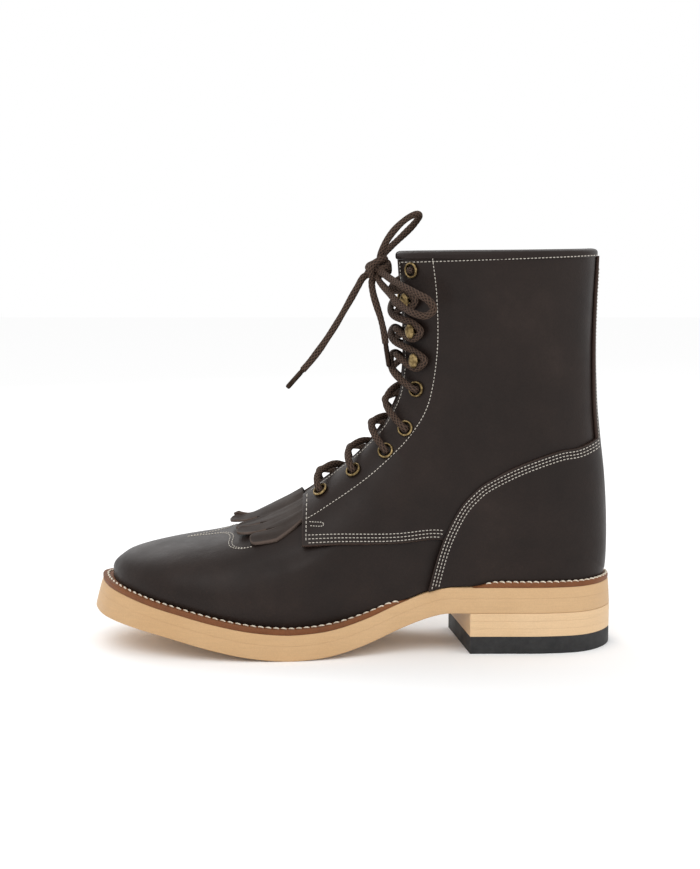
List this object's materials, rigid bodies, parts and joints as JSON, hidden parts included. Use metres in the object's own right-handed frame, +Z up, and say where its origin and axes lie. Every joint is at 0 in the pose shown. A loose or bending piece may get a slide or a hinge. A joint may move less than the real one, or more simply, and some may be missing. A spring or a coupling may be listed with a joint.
{
  "type": "laced leather work boot",
  "caption": "Ankle-high laced leather boot with a fringed kiltie flap, hooks and eyelets, a stitched welt, a leather sole and a stacked heel with a rubber top lift.",
  "frame": {"origin": "on the floor, under the middle of the boot's box (length and width)", "axes": "+X to the heel, so the toe points to -X; -Y to the lateral side; +Z up"},
  "size_m": [0.3048, 0.1063, 0.2528],
  "materials": {
    "leather": "dark brown pull-up leather with a waxy sheen, lighter where it is rubbed",
    "raw_leather": "matt grey-brown oiled leather with tan cut edges",
    "lining": "smooth tan lining leather",
    "sole_leather": "natural vegetable-tanned sole leather, sealed edge",
    "welt_leather": "orange-brown welting",
    "rubber": "matt black rubber",
    "brass": "antiqued brass",
    "steel": "plain steel",
    "cork": "granulated cork filler",
    "fibre": "stiffened fibre board",
    "lace": "waxed woven cord, brown with lighter flecks",
    "aglet": "dark brown plastic tag"
  },
  "bodies": {
    "boot": {"top_lift": "rubber", "heel_lift_1": "sole_leather", "heel_lift_2": "sole_leather", "heel_lift_3": "sole_leather", "heel_nail_1": "steel", "heel_nail_2": "steel", "heel_nail_3": "steel", "heel_nail_4": "steel", "heel_nail_5": "steel", "outsole": "sole_leather", "midsole": "sole_leather", "welt": "welt_leather", "heel_rand": "welt_leather", "shank": "steel", "cork_filler": "cork", "insole": "sole_leather", "footbed": "lining", "vamp": "leather", "toe_puff": "fibre", "vamp_lining": "lining", "quarter_lateral": "leather", "facing_lateral": "leather", "quarter_lining_lateral": "lining", "quarter_medial": "leather", "facing_medial": "leather", "quarter_lining_medial": "lining", "heel_stiffener": "fibre", "counter_cover": "leather", "back_stay": "leather", "kiltie_root": "raw_leather", "collar_binding": "leather", "eyelet_lateral_1": "brass", "eyelet_lateral_2": "brass", "eyelet_lateral_3": "brass", "eyelet_lateral_4": "brass", "eyelet_lateral_5": "brass", "hook_lateral_6": "brass", "hook_lateral_7": "brass", "hook_lateral_8": "brass", "eyelet_lateral_9": "brass", "eyelet_medial_1": "brass", "eyelet_medial_2": "brass", "eyelet_medial_3": "brass", "eyelet_medial_4": "brass", "eyelet_medial_5": "brass", "hook_medial_6": "brass", "hook_medial_7": "brass", "hook_medial_8": "brass", "eyelet_medial_9": "brass", "lace_run_a": "lace", "lace_run_b": "lace", "lace_knot": "lace", "lace_loop_upper": "lace", "lace_loop_lower": "lace", "lace_end_front": "lace", "lace_end_down": "lace", "aglet_front": "aglet", "aglet_down": "aglet"},
    "kiltie": {"kiltie": "raw_leather"},
    "tongue": {"tongue": "leather"}
  },
  "joints": [
    {"name": "kiltie_lift", "type": "hinge", "parent": "boot", "child": "kiltie", "pos_m": [-0.0286, 0, 0.0885], "axis": [0, 1, 0], "range_deg": [0, 50], "stiffness_Nm_per_rad": 0.02},
    {"name": "tongue_lean", "type": "hinge", "parent": "boot", "child": "tongue", "pos_m": [-0.012, 0, 0.086], "axis": [0, 1, 0], "range_deg": [0, 12], "stiffness_Nm_per_rad": 0.2}
  ]
}
